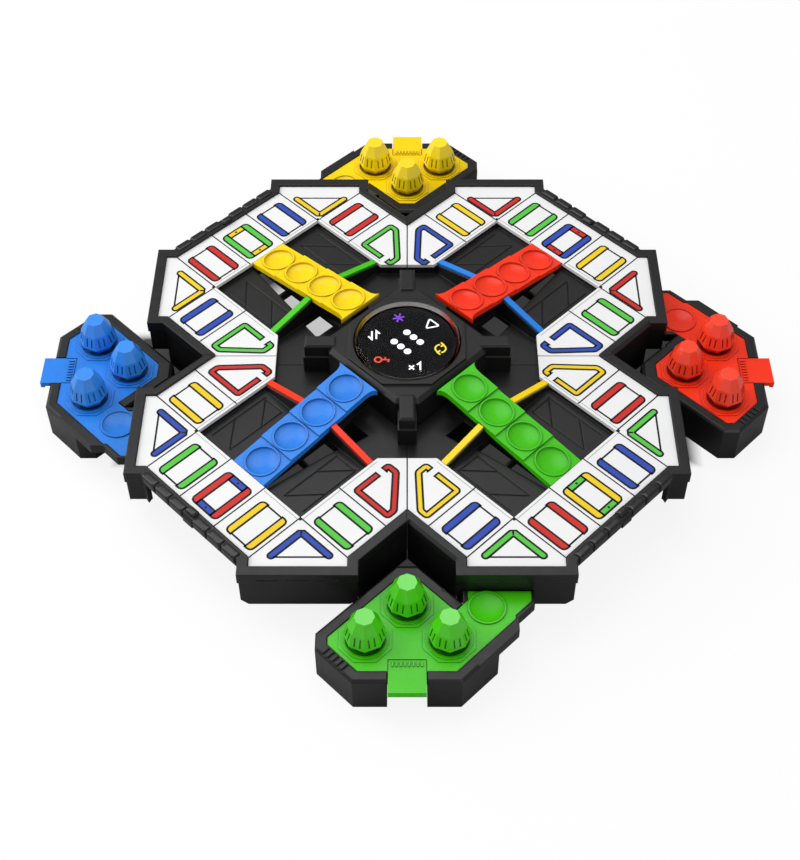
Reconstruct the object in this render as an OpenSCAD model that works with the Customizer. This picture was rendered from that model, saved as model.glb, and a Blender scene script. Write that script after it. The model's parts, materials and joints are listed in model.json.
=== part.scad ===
// Electronic ludo game: a cross of four arms round a roll-button hub,
// with a player box in each of the four notches between the arms.
// The origin lies on the table below the centre of the hub, +Z is up.

/* [Path tiles] */
// Width of one path tile
tile_w = 24; // [22:0.5:27]
// Length of one path tile
tile_l = 31.1; // [28:0.1:35]
// Distance from the centre to the end row of tiles
row_r = 104.2; // [98:0.2:110]
// Distance from the centre to the inner edge of the tiles at a mitre
tile_in = 64.8; // [62:0.2:68]
// Height of the tile tops above the table
tile_h = 31.2; // [29:0.2:36]
// Thickness of a tile plate
plate_t = 2; // [1.5:0.1:2.6]
// Width of the grooves between tiles
groove_w = 0.5; // [0.3:0.1:0.8]
// Depth of the grooves between tiles
groove_d = 0.4; // [0.2:0.1:0.8]
// Half of the gap between neighbouring tile plates
plate_gap = 0.3; // [0.2:0.05:0.5]

/* [Arm frames] */
// Depth of a corner bay beyond its triangle tile
bay_lip = 5.3; // [4:0.1:8]
// Width of the rim round the tiles
rim_w = 4.8; // [4:0.1:6]
// Height of the rim above the tiles
rim_h = 1.2; // [0.6:0.1:2]
// Bevel on the outer edge of the rim
rim_bevel = 1.6; // [0.8:0.1:2.4]
// Depth of the rim band below the tile tops
band_h = 5; // [4:0.1:8]
// Step from the rim band in to the skirt panel
panel_step = 0.6; // [0.3:0.1:1]
// Height of the skirt's bottom edge above the table
skirt_z = 9; // [6:0.2:12]
// Bevel on the bottom corners of a corner bay
bay_bevel = 3.4; // [2:0.1:5]
// Wall thickness of the mouldings
wall = 2.4; // [1.8:0.1:3]
// Thickness of the top slabs
slab_t = 2.4; // [1.8:0.1:3]
// Depth of the deck beside a home column, below the tile tops
deck_drop = 4; // [3:0.1:5]
// Depth of the floor round the hub, below the tile tops
floor_drop = 6.5; // [5.5:0.1:8]
// Half of the gap between neighbouring arms
mitre = 0.05; // [0.05:0.05:0.4]
// Height of the bottom edge of the notch walls above the table
notch_z = 1; // [0.6:0.1:3]
// How far the slots beside a home column reach out from it at the hub
slot_w = 9; // [6:0.1:11]
// Width of the tie across such a slot
tie_w = 1.2; // [0.8:0.1:2]
// Bevel on the rim at the diagonal end
end_bevel = 3.2; // [2.4:0.1:3.6]
// Depth of the recesses in that bevel
nick_d = 0.6; // [0.3:0.1:0.9]
// Gap between neighbouring recesses
nick_gap = 1.6; // [1:0.1:2.4]
// Width of the latch bump in the middle of a diagonal rim
latch_w = 6.5; // [5:0.1:9]
// Diameter of a foot post below an arm
post_d = 12; // [9:0.5:14]
// Thickness of the rubber feet
foot_t = 2; // [1.5:0.1:3]

/* [Home columns] */
// Width of a home column
col_w = 20.9; // [19:0.1:22]
// Rise of a home column from the tiles to the hub
col_rise = 11; // [10:0.1:12]
// Height of the lip between two steps
step_h = 0.9; // [0.4:0.1:1.4]
// How far the spine below a home column stands back from its side
spine_in = 5; // [3:0.1:6]
// Thickness of a step
col_t = 3.2; // [3:0.1:4]
// Diameter of a seat on a step
cup_d = 15.4; // [14:0.1:16]
// Depth of a seat on a step
cup_dp = 2; // [1.2:0.1:2.2]
// Height of the ring round a seat
ring_h = 0.5; // [0.3:0.1:0.8]
// Width of the ring round a seat
ring_w = 0.8; // [0.5:0.1:1]
// Width across the ears at the inner end
ear_w = 26.4; // [24:0.1:28]
// Length of an ear
ear_l = 6; // [4:0.1:7]
// Width of a shortcut strip
strip_w = 3.1; // [2.6:0.1:4]
// Thickness of a shortcut strip
strip_t = 1.6; // [1:0.1:2]
// Rise of a shortcut strip from the tiles to the column
strip_rise = 6.2; // [4:0.1:7]

/* [Hub] */
// Height of the hub's top above the table
hub_h = 41.4; // [40:0.1:46]
// Distance from the centre to a flat side of the hub
hub_flat = 31.2; // [30.6:0.1:33]
// Distance from the centre to a cut corner of the hub
hub_corner = 38.4; // [37.4:0.1:40]
// Gap between the hub and the home columns
hub_gap = 2; // [1:0.1:3]
// Bevel on the top edge of the hub
hub_bevel = 2; // [1.4:0.1:2.4]
// Height of the octagonal frame round the display
frame_h = 1.3; // [0.8:0.1:2]
// Width of a hub buttress
butt_w = 7.7; // [7:0.1:9]
// How far a buttress reaches out of its corner of the hub
butt_l = 12; // [9:0.1:14]
// Height of a buttress above the hub's top
butt_up = 1; // [0.6:0.1:1.6]
// Height of the foot of a buttress above the tiles
butt_low = 3.8; // [2:0.1:5]
// How far that foot stands out
butt_step = 0.7; // [0.4:0.1:1.2]
// Distance from the centre to a flat side of the hub base
base_flat = 44; // [43:0.5:47]
// Distance from the centre to a cut corner of the hub base
base_corner = 52; // [51:0.5:54]
// Thickness of the hub base's floor
base_floor = 3; // [2.6:0.1:3.6]
// Thickness of the flange of the hub cover
flange_t = 2; // [1.6:0.1:2.6]

/* [Roll button] */
// Diameter of the display lens
lens_d = 52; // [50:0.2:53]
// Height of the lens above the hub's top
lens_up = 3.8; // [3:0.1:4.6]
// Bevel on the lens
lens_bevel = 2.4; // [1.6:0.1:2.6]
// Depth of the lens edge below the hub's top
lens_dn = 1.8; // [1.4:0.1:2.2]
// Diameter of the display face
face_d = 46.8; // [44:0.2:48]
// Thickness of the display face
face_t = 1; // [0.6:0.1:1.2]
// Travel of the roll button
press = 1.5; // [1:0.1:1.6]
// Distance from the hub's top down to the main board
board_dp = 9.4; // [9.2:0.1:11]
// Thickness of the main board
board_t = 1.6; // [1.2:0.1:2]
// Width of a light emitter
light_w = 3; // [2:0.1:4]
// Distance between neighbouring pips of the display
pip_p = 4.6; // [4:0.1:6]
// Distance between the two rows of pips
pip_row = 8.8; // [8:0.1:10]

/* [Power] */
// Diameter of one cell
cell_d = 10.5; // [10:0.1:11]
// Length of one cell
cell_l = 44.5; // [42:0.1:46]
// Room for the contact at each end of a cell
contact_l = 2.5; // [2:0.1:3]
// Thickness of the battery door
door_t = 1.8; // [1.4:0.1:2]
// Diameter of the loudspeaker
speaker_d = 22; // [18:0.5:23]
// Travel of the power switch
slide = 4; // [3:0.1:5]
// Shank diameter of the case screws
screw_d = 3; // [2.6:0.1:3.4]

/* [Player boxes] */
// Gap between a player box and the notch walls
box_gap = 8; // [4:0.1:12]
// Height of a player box
box_h = 20.8; // [19.8:0.1:24]
// How far a player box reaches past the corner bay beside it
box_over = 13.6; // [12.6:0.1:15]
// Length of the side walls of a player box
side_l = 8.1; // [6:0.1:12]
// Width of the chamfers on the front wall
front_cut = 16.4; // [15:0.1:18]
// Half of the width of the inner tip
tip_half = 4.6; // [3:0.1:6]
// Width of the rim round the tray
box_rim = 5.4; // [5:0.1:6]
// Thickness of the box's floor
box_floor = 2; // [1.6:0.1:2.6]
// Width of the ledge below the tray
ledge_w = 1.6; // [1.2:0.1:2]
// Thickness of the ledge and of the tongue below the tray
ledge_t = 2.4; // [2:0.1:3]
// Width of the finger notch in the front wall
notch_w = 17.3; // [14:0.1:20]
// Depth of the finger notch
notch_d = 11; // [9:0.1:13]
// Length of the tongue along the arm's wall
tongue_l = 31.6; // [30:0.1:34]
// Gap between the tongue and the arm's corner bay
tongue_gap = 0.3; // [0.2:0.05:0.6]
// Rim of the tongue
tongue_rim = 1.4; // [1:0.1:1.8]

/* [Trays and pawns] */
// Thickness of a tray
tray_t = 2.4; // [2:0.1:2.8]
// Depth of the tray below the box's rim
tray_sink = 0.4; // [0.2:0.1:0.8]
// How far the pull tab stands out of the front wall
tab_out = 5.1; // [3:0.1:7]
// Depth of the lip at the end of the pull tab
tab_lip = 3.4; // [2.8:0.1:4]
// Widest diameter of a pawn
pawn_d = 19.2; // [17:0.1:20]
// Diameter of a pawn's foot
foot_d = 13; // [11:0.1:14]
// Height of a pawn
pawn_h = 18.6; // [17:0.1:23]
// Diameter of a pawn's seat in the tray
seat_d = 17.6; // [16:0.1:18]
// Depth of a pawn's seat in the tray
seat_dp = 1.6; // [1:0.1:2]
// Height of the ring round a pawn's seat
seat_ring = 0.6; // [0.4:0.1:1]
// Distance of the two outer seats from the side walls of the box
seat_in = 21.7; // [20.8:0.1:22.2]
// Distance of the first seat from the inner tip of the tray
seat_tip = 18; // [17.4:0.1:20]
// Distance of the two outer seats behind the first
seat_back = 17.5; // [17:0.1:19]
// Distance of the start seat from the arm's wall
start_in = 8.6; // [8.2:0.1:9.4]
// Clearance between pieces that are fitted together
fit = 0.2; // [0.15:0.05:0.3]
// Running clearance between pieces that move
run = 0.4; // [0.3:0.05:0.5]

/* [Hidden] */
$fn = 48;
s2 = sqrt(2);
far = 400;

// Plan of an arm: u runs outward along the diagonal, v across it
row_end = row_r + tile_l;
side_v = 1.5 * tile_w;
out_v = side_v + tile_l;
bay_x0 = (row_r - out_v) / s2;
bay_x1 = (row_end - side_v) / s2;
bay_y = (row_end + side_v) / s2 + bay_lip;

// Levels of an arm
z_rim = tile_h + rim_h;
z_seat = tile_h - plate_t;
z_deck = tile_h - deck_drop;
z_floor = tile_h - floor_drop;
z_slab = z_floor - slab_t;
z_band = tile_h - band_h;

// Home column
col_half = col_w / 2;
col_in = hub_flat + hub_gap;
pitch = (row_r - col_in) / 4;
strip_u = row_r - 2.5 * pitch;
rib_w = strip_w + 1.2;
spine_half = col_half - spine_in;
slot_v = spine_half + wall / 2;
tie_u = row_r - 1.4 * pitch;

// Diagonal end of the rim
end_half = side_v - (s2 - 1) * rim_w;
nick_l = (end_half - latch_w / 2 - 3.5 * nick_gap) / 3;

// Button stack
hole_r = lens_d / 2 + run;
top_t = 2.4;
flange_r = hole_r + 1.2;
z_board = hub_h - board_dp;
z_carrier = hub_h - top_t - 0.1 - 1.2;
boss_r = 3;

// Battery housing
cell_p = cell_d + 0.5;
well_x = 3 * cell_p + 0.6;
well_y = cell_l + 2 * contact_l;
well_wall = 1.6;
door_x = well_x + 5;
door_y0 = -well_y / 2 - 3;
door_y1 = well_y / 2 + 11;
door_screw_y = well_y / 2 + 7;
z_base = foot_t + base_floor;
screw_u = base_flat - wall - 5.6;
screw_r = screw_d / 2;
head_r = screw_d * 0.95;
speaker_x = well_x / 2 + well_wall + speaker_d / 2 + 4;
switch_x = -speaker_x;
foot_x = base_corner - 6;

// Player box
box_c = (out_v + rim_w) * s2 + box_gap * s2;
box_half = bay_x0 + box_over;
front_half = box_half - front_cut;
box_f = box_c + 2 * box_half + side_l - front_half;
box_k = box_f + front_half;
tongue_x0 = bay_x0 - rim_w + 3.2;
tongue_x1 = tongue_x0 + tongue_l;
tongue_jog = tongue_x1 - 7.4;
tongue_k = box_k - 6.4;
tongue_y = bay_y + rim_w + tongue_gap;
z_tray = box_h - tray_sink - tray_t;
z_ledge = z_tray - 0.1;
tray_top = box_h - tray_sink;
seat_c = box_c + box_rim * s2;
tip_seat_y = seat_c + seat_tip;
rear_seat_y = tip_seat_y + seat_back;
seat_x = box_half - seat_in;
start_x = tongue_x0 + 10.4;
start_y = tongue_y + start_in;
seats = [[0, -tip_seat_y], [-seat_x, -rear_seat_y], [seat_x, -rear_seat_y]];
seat_r = seat_d / 2;
flute_w = 1.3;
flute_d = 0.5;
z_pawn = tray_top + seat_ring - seat_dp + 0.1;

// Colours of the four sides, counter-clockwise from the front
SIDE = ["limegreen", "orangered", "gold", "dodgerblue"];
BODY = "#2b2b2d";

function swap(p) = [-p[1], -p[0]];
function rev(l) = [for (i = [len(l) - 1:-1:0]) l[i]];
function mirrored(h) = concat(h, [for (p = rev(h)) swap(p)]);

// Outer edge of the tiles moved out by d, from the front mitre to the side mitre
function half_outline(d, m) =
  let (c = (out_v + d) * s2)
  [[m, -c - m],
   [bay_x0 - d, -c - bay_x0 + d],
   [bay_x0 - d, -bay_y - d],
   [bay_x1 + d, -bay_y - d],
   [bay_x1 + d, bay_x1 + d - (row_end + d) * s2]];
function outline(d, m) = mirrored(half_outline(d, m));
function quarter(d, m) = concat([[m, -m]], outline(d, m));

// Inner edge of the tiles moved in by d
function half_inner(d, m) =
  let (v = side_v - d, t = tile_in - d)
  [[m, -t],
   [t - v * s2, -t],
   [(row_r - d - v) / s2, -(row_r - d + v) / s2]];
function inner(d, m) = mirrored(half_inner(d, m));
function band(d_out, d_in, m) = concat(outline(d_out, m), rev(inner(d_in, m)));

// Square on its corner with cut corners
function hub_outline(f, c) =
  let (e = f * s2 - c)
  [[c, -e], [c, e], [e, c], [-e, c], [-c, e], [-c, -e], [-e, -c], [e, -c]];

// Player box moved in by d
function box_outline(d) =
  let (f = box_f - d, k = box_k - d * s2, x = box_half - d, c = box_c + d * s2, a = tip_half)
  [[-(k - f), -f], [k - f, -f], [x, x - k], [x, -c - x],
   [a, -c - a], [-a, -c - a], [-x, -c - x], [-x, x - k]];

function tongue_outline() =
  [[box_half - 9, box_half - 9 - box_k],
   [tongue_jog, tongue_jog - box_k],
   [tongue_jog, tongue_jog - tongue_k],
   [tongue_x1, tongue_x1 - tongue_k],
   [tongue_x1, -tongue_y],
   [tongue_x0, -tongue_y],
   [tongue_x0, -box_c - tongue_x0 - 4],
   [tongue_x0 - 6, -box_c - tongue_x0 - 4]];

// Tray moved out by e
function tray_outline(e) =
  let (d = box_rim - e, f = box_f - d, k = box_k - d * s2, x = box_half - d, c = box_c + d * s2)
  let (a = tip_half * 0.9, r = tongue_rim - e, kt = tongue_k - 3 + e * s2)
  let (jx = tongue_jog - r, tx = tongue_x1 - r, x0 = tongue_x0 + 2.1 - e, vx = x0 - 5.4)
  [[-(k - f), -f], [k - f, -f], [jx, jx - k], [jx, jx - kt], [tx, tx - kt], [tx, -tongue_y],
   [x0, -tongue_y], [x0, -tongue_y - 4.5], [vx, -c - vx],
   [a, -c - a], [-a, -c - a], [-x, -c - x], [-x, x - k]];

// Home column: height of its ramp at a distance u, and its four steps
function ramp(u) = tile_h + col_rise * (row_r - u) / (row_r - col_in);
function edge(k) = row_r - k * pitch;
function step_out(k) = ramp(edge(k)) + (k > 0 ? step_h / 2 : 0);
function step_in(k) = ramp(edge(k + 1)) - (k < 3 ? step_h / 2 : 0);
function step_tilt(k) = atan((step_in(k) - step_out(k)) / pitch);
function slot_edge(u) = col_half + slot_w * (row_r - u) / (row_r - base_flat);
function strip_z(v) = tile_h + strip_rise * (side_v - fit - v) / (side_v - col_half - 2 * fit);
function ear_side(s) = [for (a = [0:15:90])
  [col_in + ear_l * (1 - cos(a)), s * (ear_w / 2 - (ear_w / 2 - col_half) * sin(a))]];
col_plan = concat(ear_side(1), [[row_r - fit, col_half], [row_r - fit, -col_half]], rev(ear_side(-1)));
col_side = concat(
  [for (k = [0:3]) each [[edge(k) - (k == 0 ? fit : 0), step_out(k)], [edge(k + 1), step_in(k)]]],
  [[col_in, ramp(col_in) - col_t], [row_r - fit, ramp(row_r - fit) - col_t]]);

module prism(points, z0, z1)
  translate([0, 0, z0]) linear_extrude(z1 - z0) polygon(points);

// Prism whose top outline differs from its bottom outline
module taper(p0, z0, p1, z1) {
  n = len(p0);
  low = [for (p = p0) [p[0], p[1], z0]];
  high = [for (p = p1) [p[0], p[1], z1]];
  sides = [for (i = [0:n - 1]) [i, n + i, n + (i + 1) % n, (i + 1) % n]];
  polyhedron(concat(low, high),
    concat([[for (i = [0:n - 1]) i]], [[for (i = [n - 1:-1:0]) n + i]], sides));
}

// Frame of an arm: x along u, y along v
module along_arm() rotate(-45) children();

// Outline drawn in u and z, pulled across the arm
module across(half, points)
  translate([0, half, 0]) rotate([90, 0, 0]) linear_extrude(2 * half) polygon(points);

// Outline drawn in v and z, pulled along the arm
module lengthwise(u0, u1, points)
  translate([u0, 0, 0]) rotate([90, 0, 90]) linear_extrude(u1 - u0) polygon(points);

// Straight groove between two points of a plan
module scratch(p, q, z, w, d) {
  v = q - p;
  translate([p[0], p[1], z - d])
    rotate(atan2(v[1], v[0]))
      translate([0, -w / 2, 0])
        cube([norm(v), w, d + 1]);
}

// Hollow skirt with its rim band and the bevel on the rim
module arm_shell() {
  difference() {
    union() {
      prism(quarter(rim_w - panel_step, mitre), skirt_z, z_band);
      difference() {
        prism(quarter(rim_w, mitre), z_band, z_rim);
        rim_bevels();
      }
      latch_bump();
    }
    prism(quarter(rim_w - panel_step - wall, mitre + wall), skirt_z - 1, z_slab);
    prism(band(-slab_t, -slab_t, mitre + wall), z_slab - 1, z_seat - slab_t);
    prism(band(0, 1, -1), z_seat, z_rim + far);
    prism(concat([[-1, 1]], inner(0, -1)), z_floor, z_rim + far);
    open_end();
    bay_bevels();
  }
}

// Bevel along every outer edge of the rim, larger at the diagonal end
module rim_bevels() {
  o = outline(rim_w, mitre);
  for (i = [0:len(o) - 2])
    let (v = o[i + 1] - o[i], b = i == 4 ? end_bevel : rim_bevel)
      translate([o[i][0], o[i][1], z_rim])
        rotate(atan2(v[1], v[0]))
          translate([norm(v) / 2, 0, 0])
            rotate([45, 0, 0])
              cube([norm(v), b * s2, b * s2], center = true);
}

module latch_bump()
  along_arm()
    across(latch_w / 2,
      [[row_end + 1.2, z_band + 0.5], [row_end + 1.2, z_rim + 0.9], [row_end + 2.6, z_rim + 0.9],
       [row_end + rim_w + 0.8, z_rim - 2.2], [row_end + rim_w + 0.8, z_band + 0.5]]);

// Recesses in the bevel of the diagonal end, three on each side of the latch
module rim_nicks()
  along_arm()
    for (s = [-1, 1])
      for (i = [0:2])
        translate([row_end + rim_w - end_bevel / 2,
          s * (latch_w / 2 + nick_gap + nick_l / 2 + i * (nick_l + nick_gap)), z_rim - end_bevel / 2])
          rotate([0, 45, 0])
            cube([end_bevel * 0.95, nick_l, 2 * nick_d], center = true);

// Walls of the notch for a player box, carried down almost to the table
module notch_walls() {
  o = half_outline(rim_w - panel_step - 0.3, mitre + 0.1);
  back = [0, (wall - 0.8) * s2];
  for (m = [0, 1])
    mirror([m, m, 0])
      prism([o[0], o[1], o[1] + back, o[0] + back], notch_z, skirt_z + 2);
}

// The skirt is open below the diagonal end
module open_end()
  along_arm()
    translate([row_end - 2 * wall, -side_v + 1.5 * wall, -1])
      cube([far, 2 * side_v - 3 * wall, z_band + 0.5]);

module bay_bevels() {
  x = bay_x1 + rim_w - panel_step;
  y = bay_y + rim_w - panel_step;
  c = bay_bevel * s2;
  for (m = [0, 1])
    mirror([m, m, 0])
      for (b = [x, bay_x0 - rim_w + panel_step])
        translate([b, -y, skirt_z])
          rotate([0, 45, 0])
            cube([c, 6 * rim_w, c], center = true);
}

// Ramp that carries the home column, ribs that carry the strips, and the deck
module arm_spine() {
  rib_top = ramp(strip_u + rib_w / 2) - col_t - fit;
  v0 = col_half + fit;
  v1 = side_v - fit;
  along_arm() {
    across(spine_half, [[row_r + 1, z_slab], [col_in, z_slab],
      [col_in, ramp(col_in) - col_t], [row_r + 1, ramp(row_r + 1) - col_t]]);
    for (s = [0, 1])
      mirror([0, s, 0])
        lengthwise(strip_u - rib_w / 2, strip_u + rib_w / 2,
          [[0, z_slab], [side_v + 1, z_slab], [side_v + 1, z_seat - 0.6], [v1, z_seat - 0.6],
           [v1, strip_z(v1) - strip_t], [v0, strip_z(v0) - strip_t], [v0, rib_top], [0, rib_top]]);
    translate([strip_u, -side_v - 1, z_slab])
      cube([row_r + 1 - strip_u, 2 * side_v + 2, z_deck - z_slab]);
  }
}

// Slots beside the home column, open to the table, with a tie across each
module deck_slots()
  along_arm()
    for (s = [0, 1])
      mirror([0, s, 0])
        for (r = [[base_flat + 1.5, strip_u - rib_w / 2 - 0.6], [strip_u + rib_w / 2 + 0.6, tie_u - tie_w / 2],
                  [tie_u + tie_w / 2, row_r - 2]])
          prism([[r[0], slot_v], [r[1], slot_v], [r[1], slot_edge(r[1])], [r[0], slot_edge(r[0])]], -1, z_deck + 1);

module deck_lines()
  along_arm()
    for (s = [0, 1])
      mirror([0, s, 0]) {
        u0 = strip_u + rib_w / 2 + 4;
        u1 = row_r - 5;
        v0 = slot_edge(u0) + 3;
        v1 = side_v - 4;
        for (l = [[[u0, v0], [u1, v0]], [[u0, v1], [u1, v1]], [[u0, v0], [u0, v1]],
                  [[u1, v0], [u1 - 14, v1]], [[u1 - 20, v0], [u1 - 34, v1]]])
          scratch(l[0], l[1], z_deck, groove_w, groove_d);
      }

module band_dashes()
  for (m = [0, 1])
    mirror([m, m, 0])
      for (i = [-1:1])
        translate([(bay_x0 + bay_x1) / 2 + i * 13 - 5, -bay_y - rim_w - 1, z_band + 1.6])
          cube([10, 1.5, 0.8]);

module foot_posts()
  for (m = [0, 1])
    mirror([m, m, 0])
      translate([(bay_x0 + bay_x1) / 2, -bay_y + rim_w + post_d / 2 + 3, foot_t])
        difference() {
          cylinder(h = z_seat - slab_t / 2 - foot_t, d = post_d);
          translate([0, 0, wall])
            cylinder(h = z_seat - slab_t - 2 * wall - foot_t, d = post_d - 2 * wall);
        }

module arm_frame(k)
  color(BODY) rotate(90 * k)
    difference() {
      union() {
        arm_shell();
        arm_spine();
        foot_posts();
        notch_walls();
      }
      prism(hub_outline(hub_flat + fit, hub_corner + fit), z_slab - 1, z_rim + far);
      prism(hub_outline(base_flat + fit, base_corner + fit), -1, z_slab);
      deck_slots();
      rim_nicks();
      deck_lines();
      band_dashes();
      along_arm()
        translate([screw_u, 0, z_slab - 1])
          cylinder(h = 8, r = screw_r + 0.1);
    }

module tile_plate(k)
  color("whitesmoke") rotate(90 * k)
    difference() {
      prism(band(-fit, 0, plate_gap), z_seat, tile_h);
      along_arm()
        for (s = [0, 1])
          mirror([0, s, 0])
            for (l = [[[row_r, side_v], [row_r, out_v + 1]],
                      [[row_r - tile_w, side_v - 1], [row_r - tile_w, out_v + 1]],
                      [[row_r, side_v], [row_end + 1, side_v]],
                      [[row_r - 1, tile_w / 2], [row_end + 1, tile_w / 2]]])
              scratch(l[0], l[1], tile_h, groove_w, groove_d);
    }

// Frame of a seat, square to the face of its step
module on_step(k)
  translate([edge(k) - pitch / 2, 0, (step_out(k) + step_in(k)) / 2])
    rotate([0, step_tilt(k), 0])
      children();

// Hollow of a seat, a round dish with a short wall
module seat_dish() {
  deep = cup_dp * 0.7;
  ball = (cup_d * cup_d / 4 + deep * deep) / (2 * deep);
  intersection() {
    translate([0, 0, ball - cup_dp])
      sphere(ball);
    translate([0, 0, -cup_dp - 1])
      cylinder(h = cup_dp + 2, d = cup_d);
  }
}

module home_column(k)
  color(SIDE[k]) rotate(90 * k) along_arm()
    difference() {
      union() {
        intersection() {
          prism(col_plan, 0, far);
          across(ear_w, col_side);
        }
        for (i = [0:3])
          on_step(i)
            translate([0, 0, -1])
              cylinder(h = 1 + ring_h, d = cup_d + 2 * ring_w);
      }
      for (i = [0:3])
        on_step(i)
          seat_dish();
    }

// The strip's colour is that of the arm on the far side of the next one
module shortcut_strips(k) {
  v0 = col_half + fit;
  v1 = side_v - fit;
  color(SIDE[(k + 2) % 4]) rotate(90 * k) along_arm()
    for (s = [0, 1])
      mirror([0, s, 0])
        lengthwise(strip_u - strip_w / 2, strip_u + strip_w / 2,
          [[v0, strip_z(v0) - strip_t], [v1, strip_z(v1) - strip_t], [v1, strip_z(v1)], [v0, strip_z(v0)]]);
}

// Short grip grooves across the rim of the box, on its front chamfer
module rim_hatch()
  for (i = [0:4]) {
    x = box_half - 3.4 - i * 2;
    scratch([-x, x - box_k], [-x + box_rim / s2 - 0.6, x - box_k + box_rim / s2 - 0.6], box_h, 0.9, 0.8);
  }

module player_box(k)
  color(BODY) rotate(90 * k)
    difference() {
      union() {
        difference() {
          prism(box_outline(0), 0, box_h - 1.2);
          prism(box_outline(wall), box_floor, z_ledge - ledge_t);
          prism(box_outline(box_rim + ledge_w), z_ledge - ledge_t - 1, box_h + 1);
        }
        taper(box_outline(0), box_h - 1.2, box_outline(1.2), box_h);
        prism(tongue_outline(), z_ledge - ledge_t, box_h);
        translate([-notch_w / 2 - wall, -box_f + 1.2, 0])
          cube([notch_w + 2 * wall, notch_d + wall - 1.2, z_ledge]);
      }
      prism(box_outline(box_rim + ledge_w), z_ledge, box_h + 1);
      prism(tray_outline(fit), z_ledge, box_h + 1);
      translate([-notch_w / 2, -box_f - 1, -1])
        cube([notch_w, notch_d + 1, box_h + 2]);
      translate([tongue_x0 - 9, -tongue_y, -1])
        cube([tongue_l + 20, 20, box_h + 2]);
      rim_hatch();
    }

// Raised octagon and ring round a pawn's seat
module seat_ring_at(p) {
  translate([p[0], p[1], tray_top - 1])
    rotate(22.5)
      cylinder(h = 1 + seat_ring * 0.5, r = (seat_r + 2.7) / cos(22.5), $fn = 8);
  translate([p[0], p[1], tray_top - 1])
    cylinder(h = 1 + seat_ring, r = seat_r + 1.6);
}

// Outline of the pull tab carried on over the tray
module tab_lines() {
  x = notch_w / 2 - run;
  for (s = [-1, 1])
    scratch([s * x, -box_f + box_rim], [s * x, -box_f + notch_d], tray_top, groove_w, groove_d);
  scratch([-x, -box_f + notch_d], [x, -box_f + notch_d], tray_top, groove_w, groove_d);
}

module piece_tray(k)
  color(SIDE[k]) rotate(90 * k)
    difference() {
      union() {
        prism(tray_outline(0), z_tray, tray_top);
        translate([-notch_w / 2 + run, -box_f - tab_out, z_tray])
          cube([notch_w - 2 * run, tab_out + box_rim + 1, tray_t]);
        translate([-notch_w / 2 + run, -box_f - tab_out, tray_top - tab_lip])
          cube([notch_w - 2 * run, 2, tab_lip]);
        for (i = [-3.5:3.5])
          translate([i * 1.8 - 0.4, -box_f + notch_d - 3.4, tray_top - 0.5])
            cube([0.8, 2.4, 1]);
        for (p = seats)
          seat_ring_at(p);
        translate([start_x, -start_y, tray_top - 1])
          cylinder(h = 1 + seat_ring, d = cup_d + 2 * ring_w);
      }
      for (p = seats)
        translate([p[0], p[1], tray_top + seat_ring - seat_dp])
          cylinder(h = seat_dp + 1, r = seat_r);
      translate([start_x, -start_y, tray_top + seat_ring])
        seat_dish();
      tab_lines();
    }

// A pawn, cut like a gem: a foot that widens to the girdle, a fluted band and a crown of flat faces
module pawn_shape() {
  r = pawn_d / 2;
  rings = [[0, foot_d / 2], [pawn_h * 0.3, r], [pawn_h * 0.68, r * 0.8], [pawn_h, r * 0.47]];
  low = rings[1];
  high = rings[2];
  lean = atan2((low[1] - high[1]) * cos(22.5), high[0] - low[0]);
  difference() {
    for (i = [0:2])
      translate([0, 0, rings[i][0]])
        cylinder(h = rings[i + 1][0] - rings[i][0], r1 = rings[i][1], r2 = rings[i + 1][1], $fn = 8);
    for (a = [0:45:315])
      for (s = [-1, 1])
        rotate(a + 22.5)
          translate([(low[1] + high[1]) / 2 * cos(22.5), s * flute_w, (low[0] + high[0]) / 2])
            rotate([0, -lean, 0])
              cube([2 * flute_d, flute_w / 2, (high[0] - low[0]) * 0.7], center = true);
  }
}

module pawn(k, i) {
  place = seats[i - 1];
  color(SIDE[k]) rotate(90 * k)
    translate([place[0], place[1], z_pawn])
      pawn_shape();
}

module hub_base()
  color(BODY)
    difference() {
      union() {
        difference() {
          prism(hub_outline(base_flat, base_corner), foot_t, z_slab);
          prism(hub_outline(base_flat - wall, base_corner - wall), z_base, z_slab + 1);
        }
        for (a = [45:90:315])
          rotate(a)
            translate([screw_u, 0, foot_t])
              cylinder(h = z_slab - flange_t - foot_t, r = boss_r + 1.6);
        translate([-well_x / 2 - well_wall, -well_y / 2 - well_wall, foot_t])
          cube([well_x + 2 * well_wall, well_y + 2 * well_wall, base_floor + cell_d]);
        translate([0, door_screw_y, foot_t])
          cylinder(h = base_floor + 7, r = boss_r + 1);
      }
      translate([-well_x / 2, -well_y / 2, foot_t - 1])
        cube([well_x, well_y, far]);
      translate([-door_x / 2 - fit, door_y0 - fit, foot_t - 1])
        cube([door_x + 2 * fit, door_y1 - door_y0 + 2 * fit, 1 + door_t]);
      for (a = [45:90:315])
        rotate(a)
          translate([screw_u, 0, foot_t - 1]) {
            cylinder(h = far, r = screw_r + 0.1);
            cylinder(h = 5, r = head_r + 0.2);
          }
      translate([0, door_screw_y, foot_t + door_t - 1])
        cylinder(h = 8, r = screw_r + 0.1);
      for (a = [0:60:300])
        translate([speaker_x + 5 * cos(a), 5 * sin(a), foot_t - 1])
          cylinder(h = base_floor + 2, d = 2.6);
      translate([speaker_x, 0, foot_t - 1])
        cylinder(h = base_floor + 2, d = 2.6);
      translate([switch_x - 2 - run, -slide / 2 - 3 - run, foot_t - 1])
        cube([4 + 2 * run, slide + 6 + 2 * run, base_floor + 2]);
    }

function butt_plan(d) =
  let (x = butt_w / 2 + d, y0 = hub_corner - hub_bevel - 1, y1 = hub_corner + butt_l + d)
  [[-x, -y1], [x, -y1], [x, -y0], [-x, -y0]];

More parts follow.
